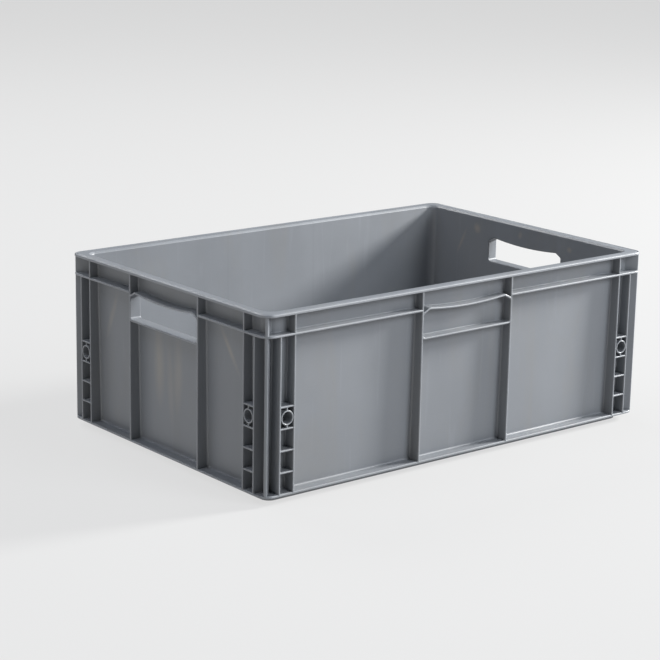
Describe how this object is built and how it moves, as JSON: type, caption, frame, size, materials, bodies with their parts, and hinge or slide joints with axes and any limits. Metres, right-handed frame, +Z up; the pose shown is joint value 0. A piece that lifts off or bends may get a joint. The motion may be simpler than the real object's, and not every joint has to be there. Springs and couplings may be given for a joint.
{
  "type": "stacking crate",
  "caption": "Open-topped grey plastic stacking crate with ribbed straight walls, open hand holes in the ends, blind grips on the long sides and a nesting foot.",
  "frame": {"origin": "middle of the face the crate stands on", "axes": "+X along the long side, +Y across it away from the front wall, +Z up"},
  "size_m": [0.6, 0.4, 0.22],
  "materials": {
    "grey_polypropylene": "fine satin moulded polypropylene"
  },
  "bodies": {
    "root": {"base_flange": "grey_polypropylene", "boss_back_left_end": "grey_polypropylene", "boss_back_left_long": "grey_polypropylene", "boss_back_right_end": "grey_polypropylene", "boss_back_right_long": "grey_polypropylene", "boss_front_left_end": "grey_polypropylene", "boss_front_left_long": "grey_polypropylene", "boss_front_right_end": "grey_polypropylene", "boss_front_right_long": "grey_polypropylene", "collar_back_left": "grey_polypropylene", "collar_back_right": "grey_polypropylene", "collar_front_left": "grey_polypropylene", "collar_front_right": "grey_polypropylene", "column_back_left_end": "grey_polypropylene", "column_back_left_long": "grey_polypropylene", "column_back_right_end": "grey_polypropylene", "column_back_right_long": "grey_polypropylene", "column_front_left_end": "grey_polypropylene", "column_front_left_long": "grey_polypropylene", "column_front_right_end": "grey_polypropylene", "column_front_right_long": "grey_polypropylene", "corner_back_left": "grey_polypropylene", "corner_back_right": "grey_polypropylene", "corner_front_left": "grey_polypropylene", "corner_front_right": "grey_polypropylene", "corner_rib_back_left": "grey_polypropylene", "corner_rib_back_right": "grey_polypropylene", "corner_rib_front_left": "grey_polypropylene", "corner_rib_front_right": "grey_polypropylene", "floor_panel": "grey_polypropylene", "grip_back": "grey_polypropylene", "grip_front": "grey_polypropylene", "handle_left": "grey_polypropylene", "handle_right": "grey_polypropylene", "rib_back_left_end": "grey_polypropylene", "rib_back_left_long": "grey_polypropylene", "rib_back_right_end": "grey_polypropylene", "rib_back_right_long": "grey_polypropylene", "rib_front_left_end": "grey_polypropylene", "rib_front_left_long": "grey_polypropylene", "rib_front_right_end": "grey_polypropylene", "rib_front_right_long": "grey_polypropylene", "stacking_foot": "grey_polypropylene", "top_rim": "grey_polypropylene", "underside_ribs": "grey_polypropylene", "wall_back": "grey_polypropylene", "wall_front": "grey_polypropylene", "wall_left": "grey_polypropylene", "wall_right": "grey_polypropylene"}
  },
  "joints": []
}
